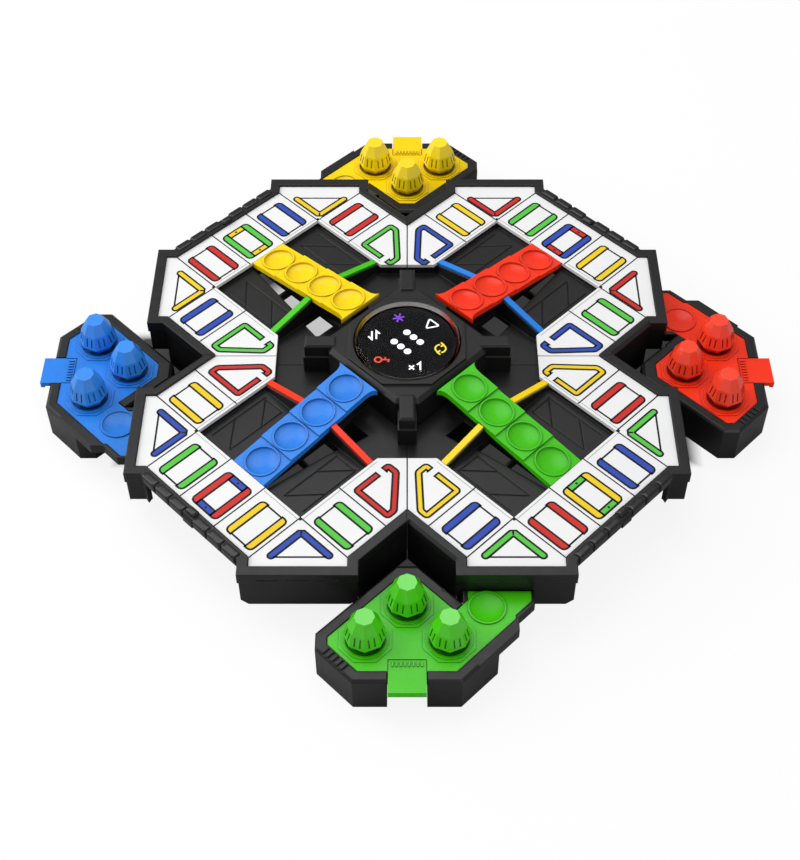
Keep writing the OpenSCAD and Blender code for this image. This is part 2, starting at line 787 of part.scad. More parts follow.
module hub_buttress() {
  prism(butt_plan(butt_step), z_floor, tile_h + butt_low);
  prism(butt_plan(0), z_floor, hub_h);
  taper(butt_plan(0), hub_h, butt_plan(-butt_up), hub_h + butt_up);
}

module hub_cover()
  color(BODY)
    difference() {
      union() {
        prism(hub_outline(base_flat - wall - fit, base_corner - wall - fit), z_slab - flange_t, z_slab);
        prism(hub_outline(hub_flat, hub_corner), z_slab - flange_t, hub_h - hub_bevel);
        taper(hub_outline(hub_flat, hub_corner), hub_h - hub_bevel,
          hub_outline(hub_flat - hub_bevel, hub_corner - hub_bevel), hub_h);
        translate([0, 0, hub_h - 1])
          rotate(22.5)
            cylinder(h = 1 + frame_h, r = (hub_flat - hub_bevel - 0.6) / cos(22.5), $fn = 8);
        for (a = [0:90:270])
          rotate(a)
            hub_buttress();
      }
      difference() {
        prism(hub_outline(hub_flat - wall, hub_corner - wall), z_slab - flange_t - 1, hub_h - top_t);
        for (a = [0:90:270])
          rotate(a)
            translate([hub_corner - wall - boss_r, 0, z_board])
              cylinder(h = far, r = boss_r);
      }
      translate([0, 0, hub_h - top_t - 1])
        cylinder(h = far, r = hole_r);
      for (a = [45:90:315])
        rotate(a)
          translate([screw_u, 0, z_slab - flange_t - 1])
            cylinder(h = flange_t + 2, r = screw_r + 0.1);
    }

module display_lens() {
  r = lens_d / 2;
  z0 = hub_h - lens_dn;
  z1 = hub_h + lens_up;
  pocket = [face_d / 2 + fit, z0 + face_t + 0.1];
  color("#16161a", 0.5)
    rotate_extrude()
      polygon([[0, pocket[1]], pocket, [pocket[0], z0], [r, z0], [r, z1 - lens_bevel], [r - lens_bevel, z1],
        [0, z1]]);
}

module display_face()
  color("#050506")
    translate([0, 0, hub_h - lens_dn])
      cylinder(h = face_t, d = face_d);

module button_carrier()
  color("#303034") {
    translate([0, 0, z_carrier])
      cylinder(h = 1.2, r = flange_r);
    translate([0, 0, z_carrier])
      cylinder(h = hub_h - lens_dn - z_carrier, r = lens_d / 2);
  }

module main_board()
  color("#1d5a35")
    prism(hub_outline(hub_flat - wall - run, hub_corner - wall - run), z_board - board_t, z_board);

module display_lights()
  color("ivory") {
    for (s = [-1, 1])
      for (i = [-1:1])
        rotate(-45)
          translate([i * pip_p - light_w / 2, s * pip_row / 2 - light_w / 2, z_board])
            cube([light_w, light_w, 1.5]);
    for (a = [15:60:315])
      rotate(a)
        translate([lens_d * 0.34 - light_w / 2, -light_w / 2, z_board])
          cube([light_w, light_w, 1.5]);
  }

module roll_switch()
  color("dimgray") rotate(-45) {
    translate([-3, -1.6, z_board])
      cube([6, 3.2, z_carrier - press - 1.2 - z_board]);
    translate([0, 0, z_board])
      cylinder(h = z_carrier - press - 0.2 - z_board, r = 1.4);
  }

module speaker()
  color("#3a3a3c")
    translate([speaker_x, 0, z_base]) {
      cylinder(h = 2, d = speaker_d);
      cylinder(h = 5, d = speaker_d * 0.55);
    }

module switch_case()
  color("silver")
    translate([switch_x - 4, -slide / 2 - 5, z_base])
      difference() {
        cube([8, slide + 10, 5]);
        translate([4 - 2 - run, 2 - run, -1])
          cube([4 + 2 * run, slide + 6 + 2 * run, 4]);
      }

// The slider is drawn in the off position
module switch_slider()
  color("gray")
    translate([switch_x - 2, -slide / 2 - 3, foot_t + 0.4])
      cube([4, 6, base_floor + 2]);

module battery_door()
  color(BODY)
    difference() {
      translate([-door_x / 2, door_y0, foot_t])
        cube([door_x, door_y1 - door_y0, door_t]);
      translate([0, door_screw_y, foot_t - 1])
        cylinder(h = door_t + 2, r = screw_r + 0.1);
      translate([0, door_screw_y, foot_t - 1])
        cylinder(h = 1.9, r = head_r + 0.2);
    }

module screw(z, length) {
  translate([0, 0, z])
    cylinder(h = length, r = screw_r);
  translate([0, 0, z - 0.1])
    cylinder(h = 0.8, r = head_r);
}

module door_screw()
  color("silver")
    translate([0, door_screw_y, 0])
      screw(foot_t + 0.1, 7);

module case_screws()
  color("silver")
    for (a = [45:90:315])
      rotate(a)
        translate([screw_u, 0, 0])
          screw(foot_t + 3.2, z_slab + 5 - foot_t - 3.2);

module battery_cells()
  color("steelblue")
    for (i = [-1:1])
      translate([i * cell_p, 0, foot_t + door_t + 0.2 + cell_d / 2])
        rotate([90, 0, 0]) {
          cylinder(h = cell_l - 1, d = cell_d, center = true);
          cylinder(h = cell_l, d = cell_d * 0.36, center = true);
        }

module battery_contacts()
  color("silver")
    for (i = [-1:1])
      for (s = [-1, 1])
        translate([i * cell_p, s * (well_y / 2 - 0.3), foot_t + door_t + 0.2 + cell_d / 2])
          rotate([90, 0, 0]) {
            cube([cell_d * 0.76, cell_d * 0.76, 0.6], center = true);
            translate([0, 0, s < 0 ? -contact_l + 0.5 : 0])
              cylinder(h = contact_l - 0.5, r = 2.2);
          }

module rubber_feet()
  color("#202022") {
    for (k = [0:3])
      rotate(90 * k) {
        translate([foot_x, 0, 0])
          cylinder(h = foot_t, r = 4.5);
        for (m = [0, 1])
          mirror([m, m, 0])
            translate([(bay_x0 + bay_x1) / 2, -bay_y + rim_w + post_d / 2 + 3, 0])
              cylinder(h = foot_t, d = post_d);
      }
  }

arm_frame(0);  // arm_frame_green
arm_frame(1);  // arm_frame_red
arm_frame(2);  // arm_frame_yellow
arm_frame(3);  // arm_frame_blue
tile_plate(0);  // tile_plate_green
tile_plate(1);  // tile_plate_red
tile_plate(2);  // tile_plate_yellow
tile_plate(3);  // tile_plate_blue
home_column(0);  // home_column_green
home_column(1);  // home_column_red
home_column(2);  // home_column_yellow
home_column(3);  // home_column_blue
shortcut_strips(0);  // shortcut_strips_green
shortcut_strips(1);  // shortcut_strips_red
shortcut_strips(2);  // shortcut_strips_yellow
shortcut_strips(3);  // shortcut_strips_blue
player_box(0);  // player_box_green
player_box(1);  // player_box_red
player_box(2);  // player_box_yellow
player_box(3);  // player_box_blue
piece_tray(0);  // piece_tray_green
piece_tray(1);  // piece_tray_red
piece_tray(2);  // piece_tray_yellow
piece_tray(3);  // piece_tray_blue
pawn(0, 1);  // pawn_green_1
pawn(0, 2);  // pawn_green_2
pawn(0, 3);  // pawn_green_3
pawn(1, 1);  // pawn_red_1
pawn(1, 2);  // pawn_red_2
pawn(1, 3);  // pawn_red_3
pawn(2, 1);  // pawn_yellow_1
pawn(2, 2);  // pawn_yellow_2
pawn(2, 3);  // pawn_yellow_3
pawn(3, 1);  // pawn_blue_1
pawn(3, 2);  // pawn_blue_2
pawn(3, 3);  // pawn_blue_3
hub_base();
hub_cover();
display_lens();
display_face();
button_carrier();
main_board();
display_lights();
roll_switch();
speaker();
switch_case();
switch_slider();
battery_door();
door_screw();
case_screws();
battery_cells();
battery_contacts();
rubber_feet();
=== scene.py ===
"""Looks of the electronic ludo game: plastics, printed path tiles, display signs, light and camera."""

import json
import math

import bpy
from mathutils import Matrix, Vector

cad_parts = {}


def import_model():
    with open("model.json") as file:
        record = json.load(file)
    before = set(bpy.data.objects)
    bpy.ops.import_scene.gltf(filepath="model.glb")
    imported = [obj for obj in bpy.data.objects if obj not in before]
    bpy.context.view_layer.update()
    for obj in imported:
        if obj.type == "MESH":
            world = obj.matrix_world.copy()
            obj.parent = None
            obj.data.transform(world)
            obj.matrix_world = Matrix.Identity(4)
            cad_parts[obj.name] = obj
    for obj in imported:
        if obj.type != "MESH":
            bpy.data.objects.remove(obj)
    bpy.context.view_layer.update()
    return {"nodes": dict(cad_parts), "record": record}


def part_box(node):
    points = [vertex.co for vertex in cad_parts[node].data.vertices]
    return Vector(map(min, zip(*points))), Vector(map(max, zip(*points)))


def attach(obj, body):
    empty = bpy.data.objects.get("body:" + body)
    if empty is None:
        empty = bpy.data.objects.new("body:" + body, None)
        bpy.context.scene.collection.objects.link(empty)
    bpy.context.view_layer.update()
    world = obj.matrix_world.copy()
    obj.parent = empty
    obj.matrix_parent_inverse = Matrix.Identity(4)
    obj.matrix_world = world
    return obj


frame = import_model()
NODES = frame["nodes"]

# Units and names
MM = 0.001
COLOURS = ["green", "red", "yellow", "blue"]

# Plan of the path tiles in millimetres, as in the part's source: u runs out along an arm, v across it
TILE_W = 24.0
TILE_L = 31.1
ROW_R = 104.2
ROW_END = ROW_R + TILE_L
SIDE_V = 1.5 * TILE_W
OUT_V = SIDE_V + TILE_L
TILE_IN = 64.8
GROOVE_W = 0.65
PLATE_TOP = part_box("tile_plate_green")[1].z / MM

# Printed marks in millimetres: as photographed, they lie a little nearer to the viewer than their tiles.
# END_MARK and SIDE_MARK are length and span, CORNER_MARK the middle line of the band on a corner tile
MARK_SHIFT = -1.9
PRINT_LIFT = 0.05
INK_LIFT = 0.1
LINE_W = 0.9
OUTLINE = 1.0
BAR_W = 2.7
BAR_ROUND = 1.8
END_MARK = (23.6, 18.1)
SIDE_MARK = (23.4, 17.8)
CAP_W = 2.3
DOT_R = 0.6
LEG_W = 2.2
LEG_REACH = 18.1
TRIANGLE_AT = (108.0, 40.9)
CORNER_W = 1.8
CORNER_MARK = [(61.4, 41.7), (74.2, 41.7), (74.2, 61.7), (70.3, 61.7), (54.1, 46.7), (54.1, 41.7),
               (56.3, 41.7)]
CORNER_ROUND = 0.9
EDGE_INSET = 1.5
EDGE_W = 0.3
EDGE_GAP = 0.4
EDGE_START = 13.0
PIN_R = 0.7

# Pads that wrap round the outer edge of a diagonal rim, in millimetres, and the rounded top of the latch.
# The outline of a pad starts on top of the rim and ends on its face, with the rim's edge as its origin
RIM_W = 4.8
RIM_TOP = PLATE_TOP + 1.2
LATCH_W = 6.5
PAD_PITCH = 10.0
PAD_HALF = 4.45
PAD_OUTLINE = [(-3.3, 0), (-3.0, 0.8), (0.85, 0.85), (0.8, -4.7), (0, -5)]
PAD_ROUND = 1.2
LATCH_TOP = (2.9, 1.9, 1.2)
LATCH_OUT = 2.0
LATCH_LIFT = 0.6

# Signs on the display face, in millimetres, and the two edges of the bright wall with painted reflections:
# radius and height
FACE_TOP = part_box("display_face")[1].z / MM
SIGN_LIFT = 0.03
PIP_R = 1.85
PIP_STEP = 4.6
PIP_ROW = 8.8
RING_R = 16.9
RING_TURN = 104.5
SIGN_W = 0.85
COLLAR = [(24.5, 0.1), (25.7, 2.7)]

# Camera, from the photograph: distance to the middle of the tile plane, and the lens
IMAGE_W = 800
IMAGE_H = 860
FOCAL_PX = 1536.39
CENTRE_PX = (407.21, 355.86)
CAMERA_FAR = 0.7608
CAMERA_ELEVATION = math.radians(47.448)
SENSOR = 36.0

# Floor in metres: half size, where its painted shadow below the board ends at the rim and in the side
# notches, and where its painted light, a grey part on the lit side, ends
FLOOR_HALF = 6.0
RIM_FADE = (0.122, 0.128)
NOTCH_FADE_X = (0.138, 0.146)
NOTCH_FADE_Y = (0.04, 0.046)
GREY_REACH = (0.112, 0.102)
GREY_LEFT = (-0.01, -0.03)
GREY_BEHIND = (0.012, 0.024)
PAINTED_LIGHT = 0.6
PAINTED_SHADOW = 0.04
FLOOR_SEEN = 0.92
FLOOR_BOUNCE = 0.38
FLOOR_GLOW = 0.86

# Lights: place, size in metres and power in watts
WORLD_LIGHT = 0.45
LAMPS = {
    "key": ((-1.15, 0.35, 0.75), 1.5, 15.0),
    "top": ((-0.1, 0.4, 1.3), 1.0, 6.0),
    "fill": ((0.6, -1.0, 0.7), 0.8, 3.2),
}


# Materials

def srgb(red, green, blue):
    """A colour given as it looks on screen, from 0 to 255, as the linear values that shaders take."""
    parts = [c / 255 for c in (red, green, blue)]
    return [c / 12.92 if c <= 0.04045 else ((c + 0.055) / 1.055) ** 2.4 for c in parts]


def new_material(name):
    made = bpy.data.materials.new(name)
    made.use_nodes = True
    return made, made.node_tree, made.node_tree.nodes["Principled BSDF"]


def noise(tree, scale, detail=2.0, roughness=0.5):
    """A noise texture in the object's own coordinates."""
    place = tree.nodes.new("ShaderNodeTexCoord")
    made = tree.nodes.new("ShaderNodeTexNoise")
    made.inputs["Scale"].default_value = scale
    made.inputs["Detail"].default_value = detail
    made.inputs["Roughness"].default_value = roughness
    tree.links.new(place.outputs["Object"], made.inputs["Vector"])
    return made.outputs["Fac"]


def ramp(tree, value, low, high):
    """Maps a noise value to the range between two numbers or two colours."""
    made = tree.nodes.new("ShaderNodeValToRGB")
    made.color_ramp.elements[0].position = 0.3
    made.color_ramp.elements[1].position = 0.7
    for element, shade in zip(made.color_ramp.elements, (low, high)):
        element.color = (*shade, 1) if hasattr(shade, "__len__") else (shade, shade, shade, 1)
    tree.links.new(value, made.inputs["Fac"])
    return made.outputs["Color"]


def soft_edges(tree, radius):
    """Normals that round a moulding's edges a little, so that they catch the light."""
    made = tree.nodes.new("ShaderNodeBevel")
    made.samples = 6
    made.inputs["Radius"].default_value = radius * MM
    return made.outputs["Normal"]


def bump(tree, value, strength, depth, normal=None):
    made = tree.nodes.new("ShaderNodeBump")
    if normal:
        tree.links.new(normal, made.inputs["Normal"])
    made.inputs["Strength"].default_value = strength
    made.inputs["Distance"].default_value = depth
    tree.links.new(value, made.inputs["Height"])
    return made.outputs["Normal"]


def maths(tree, kind, first, second):
    """A Math node of two sockets or numbers."""
    made = tree.nodes.new("ShaderNodeMath")
    made.operation = kind
    for given, socket in zip((first, second), made.inputs):
        if isinstance(given, float):
            socket.default_value = given
        else:
            tree.links.new(given, socket)
    return made.outputs[0]


def step(tree, value, start, end, high):
    """Rises from 0 to that number while the value goes from start to end."""
    made = tree.nodes.new("ShaderNodeMapRange")
    made.inputs["From Min"].default_value = start
    made.inputs["From Max"].default_value = end
    made.inputs["To Max"].default_value = high
    tree.links.new(value, made.inputs["Value"])
    return made.outputs["Result"]


def painted_corner_shade(tree, colour, reach):
    """Painted shade: the colour, darker in corners and dishes within that distance."""
    made = tree.nodes.new("ShaderNodeAmbientOcclusion")
    made.samples = 8
    made.inputs["Distance"].default_value = reach
    tree.links.new(colour, made.inputs["Color"])
    return made.outputs["Color"]


def plastic(name, colour, rough, drift=0.08, grain=2600.0, grain_depth=0.00004, edge=0.0, gloss=0.5,
            painted_shade_reach=0.0):
    """Moulded plastic: fine grain, a slow drift of the shade, and patches of slightly different gloss."""
    made, tree, shader = new_material(name)
    low = [c * (1 - drift) for c in colour]
    high = [min(1.0, c * (1 + drift)) for c in colour]
    shade = ramp(tree, noise(tree, 40.0, 4.0), low, high)
    # Painted shade, darker in corners and dishes, when a reach is given
    tree.links.new(painted_corner_shade(tree, shade, painted_shade_reach) if painted_shade_reach else shade, shader.inputs["Base Color"])
    patches = ramp(tree, noise(tree, 220.0, 3.0), rough * 0.88, rough * 1.12)
    tree.links.new(patches, shader.inputs["Roughness"])
    shader.inputs["Specular IOR Level"].default_value = gloss
    soft = soft_edges(tree, edge) if edge else None
    tree.links.new(bump(tree, noise(tree, grain, 1.0), 0.35, grain_depth, soft), shader.inputs["Normal"])
    return made


def clear_plastic(name):
    """The clear window: colourless, with faint moulding waves in its face."""
    made, tree, shader = new_material(name)
    shader.inputs["Base Color"].default_value = (0.97, 0.97, 0.98, 1)
    shader.inputs["Transmission Weight"].default_value = 1.0
    shader.inputs["IOR"].default_value = 1.12
    tree.links.new(ramp(tree, noise(tree, 120.0), 0.0, 0.04), shader.inputs["Roughness"])
    tree.links.new(bump(tree, noise(tree, 60.0), 0.05, 0.00002), shader.inputs["Normal"])
    return made


def glowing(name, colour, strength):
    """A sign lit from behind, its brightness a little uneven."""
    made, tree, shader = new_material(name)
    shader.inputs["Base Color"].default_value = (*[c * 0.6 for c in colour], 1)
    shader.inputs["Roughness"].default_value = 0.5
    low = [c * 0.85 for c in colour]
    tree.links.new(ramp(tree, noise(tree, 500.0), low, colour), shader.inputs["Emission Color"])
    shader.inputs["Emission Strength"].default_value = strength
    return made


def metal(name, colour, rough):
    """Plated steel with fine drawn lines."""
    made, tree, shader = new_material(name)
    shader.inputs["Metallic"].default_value = 1.0
    low = [c * 0.9 for c in colour]
    tree.links.new(ramp(tree, noise(tree, 300.0), low, colour), shader.inputs["Base Color"])
    tree.links.new(ramp(tree, noise(tree, 900.0), rough * 0.8, rough * 1.2), shader.inputs["Roughness"])
    return made


def painted_reflection_wall(name):
    """The bright wall round the display, with painted reflections of the home columns at its sides."""
    made, tree, shader = new_material(name)
    place = tree.nodes.new("ShaderNodeTexCoord")
    parts = tree.nodes.new("ShaderNodeSeparateXYZ")
    tree.links.new(place.outputs["Object"], parts.inputs[0])
    shade = tree.nodes.new("ShaderNodeValToRGB")
    points = shade.color_ramp.elements
    points[1].color = points[0].color
    # Painted reflections of the yellow and red home columns at the wall's two sides; dark at its two ends
    painted_reflections = {0.1: (205, 168, 45), 0.2: (185, 185, 180), 0.8: (185, 182, 180), 0.9: (205, 60, 45)}
    for at, colour in painted_reflections.items():
        points.new(at).color = (*srgb(*colour), 1)
    tree.links.new(step(tree, parts.outputs["X"], -0.026, 0.026, 1.0), shade.inputs["Fac"])
    tree.links.new(shade.outputs["Color"], shader.inputs["Base Color"])
    tree.links.new(ramp(tree, noise(tree, 300.0), 0.2, 0.35), shader.inputs["Roughness"])
    return made


def shiny(name, colour):
    """The coloured parts: smooth glossy plastic with soft edges and painted shade in corners."""
    return plastic(name, colour, 0.28, drift=0.04, grain=1500.0, grain_depth=0.00002, edge=0.15, gloss=0.28,
                   painted_shade_reach=0.003)


def polished(name, colour):
    """The pawns: the same plastic and painted shade, with a brighter polish on its flat faces."""
    return plastic(name, colour, 0.16, drift=0.04, grain=1500.0, grain_depth=0.00001, edge=0.25, gloss=0.7,
                   painted_shade_reach=0.003)


def printed(name, colour):
    """Ink on the tiles."""
    return plastic(name, colour, 0.45, drift=0.04, grain_depth=0.00002, gloss=0.25)


MATERIALS = {
    "black_plastic": plastic("black_plastic", srgb(25, 25, 25), 0.34, drift=0.12, grain=3200.0,
                             grain_depth=0.00006, edge=0.9, gloss=0.34),
    "black_gloss": plastic("black_gloss", srgb(20, 20, 20), 0.25, drift=0.12, grain=2000.0,
                           grain_depth=0.00002, gloss=0.45),
    "white_plastic": plastic("white_plastic", srgb(233, 233, 234), 0.42, drift=0.02, grain_depth=0.00003,
                             edge=0.3),
    "green_plastic": shiny("green_plastic", srgb(68, 196, 12)),
    "red_plastic": shiny("red_plastic", srgb(251, 54, 22)),
    "yellow_plastic": shiny("yellow_plastic", srgb(252, 214, 0)),
    "blue_plastic": shiny("blue_plastic", srgb(40, 128, 226)),
    "clear_plastic": clear_plastic("clear_plastic"),
    "display_black": plastic("display_black", (0.004, 0.004, 0.005), 0.1, drift=0.2, grain=400.0,
                             grain_depth=0.00001, gloss=0.12),
    "board_green": plastic("board_green", (0.02, 0.12, 0.05), 0.4, drift=0.15),
    "light_white": plastic("light_white", (0.85, 0.83, 0.76), 0.35),
    "steel": metal("steel", (0.6, 0.6, 0.6), 0.3),
    "cell_case": plastic("cell_case", (0.12, 0.2, 0.35), 0.25),
    "foot_rubber": plastic("foot_rubber", (0.02, 0.02, 0.02), 0.85, drift=0.2),
}

PAWNS = {
    "green": polished("green_pawn", srgb(78, 208, 26)),
    "red": polished("red_pawn", srgb(252, 66, 40)),
    "yellow": polished("yellow_pawn", srgb(253, 222, 20)),
    "blue": polished("blue_pawn", srgb(52, 140, 236)),
}

INKS = {
    "green": printed("ink_green", srgb(84, 196, 66)),
    "red": printed("ink_red", srgb(202, 42, 36)),
    "yellow": printed("ink_yellow", srgb(236, 202, 30)),
    "blue": printed("ink_blue", srgb(42, 74, 176)),
    "black": printed("ink_black", srgb(10, 10, 11)),
    "grey": printed("ink_grey", srgb(160, 160, 162)),
}

SIGN_COLOURS = {
    "white": srgb(250, 250, 250),
    "purple": srgb(116, 58, 196),
    "yellow": srgb(226, 205, 48),
    "red": srgb(212, 66, 44),
}


def dress_nodes():
    """Gives every CAD node the material of its slot in the record, and the pawns their polished one."""
    for row in frame["record"]["subparts"]:
        name = row["node"]
        data = NODES[name].data
        data.materials.clear()
        is_pawn = name.startswith("pawn_")
        data.materials.append(PAWNS[name.split("_")[1]] if is_pawn else MATERIALS[row["material_slot"]])


# Meshes of the pieces, and flat outlines to fill them

class Sheet:
    """Collects the faces of one piece, with its points in millimetres."""

    def __init__(self):
        self.points = []
        self.faces = []

    def polygon(self, points, z):
        first = len(self.points)
        self.points += [(x, y, z) for x, y in points]
        self.faces.append(range(first, len(self.points)))

    def quads(self, first, steps, row):
        """Joins rows of points, each with that many, by four-sided faces."""
        for i in range(steps):
            for j in range(row - 1):
                corner = first + i * row + j
                self.faces.append((corner, corner + row, corner + row + 1, corner + 1))

    def make(self, name, material, slot, body, smooth=False):
        data = bpy.data.meshes.new(name)
        data.from_pydata([[c * MM for c in p] for p in self.points], [], [list(f) for f in self.faces])
        data.materials.append(material)
        data.polygons.foreach_set("use_smooth", [smooth] * len(data.polygons))
        piece = bpy.data.objects.new(name, data)
        bpy.context.scene.collection.objects.link(piece)
        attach(piece, body)
        return piece


def arc(cx, cy, r, a0, a1, steps):
    turns = [math.radians(a0 + (a1 - a0) * i / steps) for i in range(steps + 1)]
    return [(cx + r * math.cos(t), cy + r * math.sin(t)) for t in turns]


def disc(cx, cy, r, steps=20):
    return arc(cx, cy, r, 0, 360 - 360 / steps, steps - 1)


def rounded(path, r, steps=4, closed=False):
    """Rounds the corners of a path with arcs of about radius r."""
    made = [] if closed else [path[0]]
    n = len(path)
    for i in (range(n) if closed else range(1, n - 1)):
        p, q, s = (Vector(path[(i + d) % n]) for d in (-1, 0, 1))
        a = q + (p - q).normalized() * min(r, (p - q).length / 2)
        b = q + (s - q).normalized() * min(r, (s - q).length / 2)
        for j in range(steps + 1):
            t = j / steps
            made.append(tuple(a * (1 - t) ** 2 + q * 2 * t * (1 - t) + b * t ** 2))
    return made if closed else made + [path[-1]]


def ribbon(path, width):
    """Outline of a line of that width along a path, mitred at its corners."""
    points = [Vector(p) for p in path]
    left, right = [], []
    for i, p in enumerate(points):
        before = (p - points[i - 1]).normalized() if i else None
        after = (points[i + 1] - p).normalized() if i + 1 < len(points) else None
        along = ((before or after) + (after or before)).normalized()
        side = Vector((-along.y, along.x))
        turn = (before or after)
        reach = width / 2 / max(0.3, side.dot(Vector((-turn.y, turn.x))))
        left.append(tuple(p + side * reach))
        right.append(tuple(p - side * reach))
    return [[left[i], right[i], right[i + 1], left[i + 1]] for i in range(len(points) - 1)]


class ArmPrint:
    """The marks on one arm's tiles: each ink is one thin sheet on the tile plate."""

    def __init__(self, k):
        self.turn = math.radians(90 * k - 45)
        self.shift = 0.0
        self.sheets = {}

    def place(self, u, v):
        c, s = math.cos(self.turn), math.sin(self.turn)
        return u * c - v * s, u * s + v * c + self.shift

    def fill(self, ink, points, z):
        sheet = self.sheets.setdefault(ink, Sheet())
        sheet.polygon([self.place(*p) for p in points], z)

    def line(self, ink, path, width, z):
        for part in ribbon(path, width):
            self.fill(ink, part, z)

    def band(self, ink, path, width, round_ends=False):
        """A coloured band with a black outline, also round its two ends."""
        longer = list(path)
        for end, before in ((0, 1), (-1, -2)):
            along = (Vector(path[end]) - Vector(path[before])).normalized()
            if round_ends:
                turn = math.degrees(math.atan2(along.y, along.x))
                for colour, r, z in (("black", width / 2 + OUTLINE, PRINT_LIFT), (ink, width / 2, INK_LIFT)):
                    self.fill(colour, arc(*path[end], r, turn - 90, turn + 90, 8), PLATE_TOP + z)
            else:
                longer[end] = tuple(Vector(path[end]) + along * OUTLINE)
        self.line("black", longer, width + 2 * OUTLINE, PLATE_TOP + PRINT_LIFT)
        self.line(ink, path, width, PLATE_TOP + INK_LIFT)


def bar(long_side, short_side, grow):
    """Outline of a bar whose two outer corners are round, about its middle: x along it, y outward."""
    a, b, r = long_side / 2 + grow, short_side / 2 + grow, BAR_ROUND + grow
    return [(-a, -b), (a, -b)] + arc(a - r, b - r, r, 0, 90, 5) + arc(r - a, b - r, r, 90, 180, 5)


def box_mark(arm, ink, centre, size, along_u, caps=None):
    """Two bars joined by thin lines at their ends, or by two coloured caps with a dot."""
    def put(x, y):
        return (centre[0] + x, centre[1] + y) if along_u else (centre[0] - y, centre[1] + x)

    length, span = size
    middle = span / 2 - OUTLINE - BAR_W / 2
    for side in (-1, 1):
        for grow, colour, z in ((OUTLINE, "black", PRINT_LIFT), (0, ink, INK_LIFT)):
            outline = bar(length - 2 * OUTLINE, BAR_W, grow)
            arm.fill(colour, [put(side * x, side * (y + middle)) for x, y in outline], PLATE_TOP + z)
        end = side * (length / 2 - OUTLINE)
        inner = middle - BAR_W / 2
        if caps:
            cap = end - side * CAP_W / 2
            short = inner - OUTLINE
            wide = CAP_W + 2 * OUTLINE
            arm.line("black", [put(cap, -inner), put(cap, inner)], wide, PLATE_TOP + PRINT_LIFT)
            arm.line(caps, [put(cap, -short), put(cap, short)], CAP_W, PLATE_TOP + INK_LIFT)
            dot = [put(cap + x, y) for x, y in disc(0, 0, DOT_R)]
            arm.fill("black", dot, PLATE_TOP + INK_LIFT + PRINT_LIFT)
        else:
            arm.line("black", [put(end, -inner), put(end, inner)], LINE_W, PLATE_TOP + PRINT_LIFT)


def triangle_mark(arm, ink, side):
    """Two coloured legs that meet towards the hub, and a thin line across."""
    u0, v0 = TRIANGLE_AT
    half = LEG_W / 2
    legs = [(u0, v0 + LEG_REACH), (u0, v0 + half), (u0 + half, v0), (u0 + LEG_REACH, v0)]
    legs = [(u, side * v) for u, v in legs]
    arm.band(ink, legs, LEG_W, True)
    arm.line("black", [(u0 - half / 2, side * (v0 - half / 2)), (u0 + half, side * (v0 + half))], LINE_W,
             PLATE_TOP + INK_LIFT + PRINT_LIFT)
    arm.line("black", [(u0 + half, side * (v0 + LEG_REACH)), (u0 + LEG_REACH, side * (v0 + half))], LINE_W,
             PLATE_TOP + PRINT_LIFT)


def corner_mark(arm, ink, side):
    """The open band on a corner tile, with its gap towards the home column and a barb at the gap."""
    path = rounded(CORNER_MARK, CORNER_ROUND, 3)
    arm.band(ink, [(u, side * v) for u, v in path], CORNER_W)
    u, v = CORNER_MARK[-1]
    half = CORNER_W / 2
    barb = [(u, v + half), (u + 0.7, v + half), (u + 0.9, v + CORNER_W + 0.9), (u - 0.6, v + half + 0.5)]
    arm.fill("black", [(p, side * q) for p, q in barb], PLATE_TOP + PRINT_LIFT)


def tile_lines(arm):
    """Dark gaps between the tiles, and a fine grey line along the inner edge of the plate."""
    z = PLATE_TOP + PRINT_LIFT
    for side in (-1, 1):
        for a, b in (((ROW_R, SIDE_V), (ROW_R, OUT_V)),
                     ((ROW_R - TILE_W, SIDE_V), (ROW_R - TILE_W, OUT_V)),
                     ((ROW_R, SIDE_V), (ROW_END, SIDE_V)),
                     ((ROW_R, TILE_W / 2), (ROW_END, TILE_W / 2))):
            arm.line("black", [(a[0], side * a[1]), (b[0], side * b[1])], GROOVE_W, z)
        cut = TILE_IN * math.sqrt(2) - SIDE_V
        edge_v = side * (SIDE_V + EDGE_INSET)
        arm.line("grey", [(cut + EDGE_INSET, edge_v), (ROW_R - EDGE_GAP, edge_v)], EDGE_W, z)
        edge_u = ROW_R + EDGE_INSET
        arm.line("grey", [(edge_u, side * EDGE_START), (edge_u, side * (SIDE_V - EDGE_GAP))], EDGE_W, z)
        arm.fill("black", disc(ROW_R + PIN_R, side * (SIDE_V + PIN_R), PIN_R), z + PRINT_LIFT)


def print_arm(k):
    """Prints one arm's nine tiles; the colours go round the board in the same order as the homes."""
    arm = ArmPrint(k)
    home = COLOURS[k]
    ring = ["yellow", "blue", "green", "red"]
    inks = [ring[(i + k) % 4] for i in range(9)]
    end_u = (ROW_R + ROW_END) / 2
    side_u, side_v = ROW_R - TILE_W / 2, (SIDE_V + OUT_V) / 2
    tile_lines(arm)
    arm.shift = MARK_SHIFT
    corner_mark(arm, inks[0], -1)
    box_mark(arm, inks[1], (side_u, -side_v), SIDE_MARK, False)
    triangle_mark(arm, inks[2], -1)
    box_mark(arm, inks[3], (end_u, -TILE_W), END_MARK, True)
    box_mark(arm, inks[4], (end_u, 0), END_MARK, True, home)
    box_mark(arm, inks[5], (end_u, TILE_W), END_MARK, True)
    triangle_mark(arm, inks[6], 1)
    box_mark(arm, inks[7], (side_u, side_v), SIDE_MARK, False)
    corner_mark(arm, inks[8], 1)
    for ink, sheet in arm.sheets.items():
        slot = "black_plastic" if ink in ("black", "grey") else ink + "_plastic"
        sheet.make(f"print_{home}_arm_{ink}", INKS[ink], slot, "board")


# Small mouldings on the diagonal rims

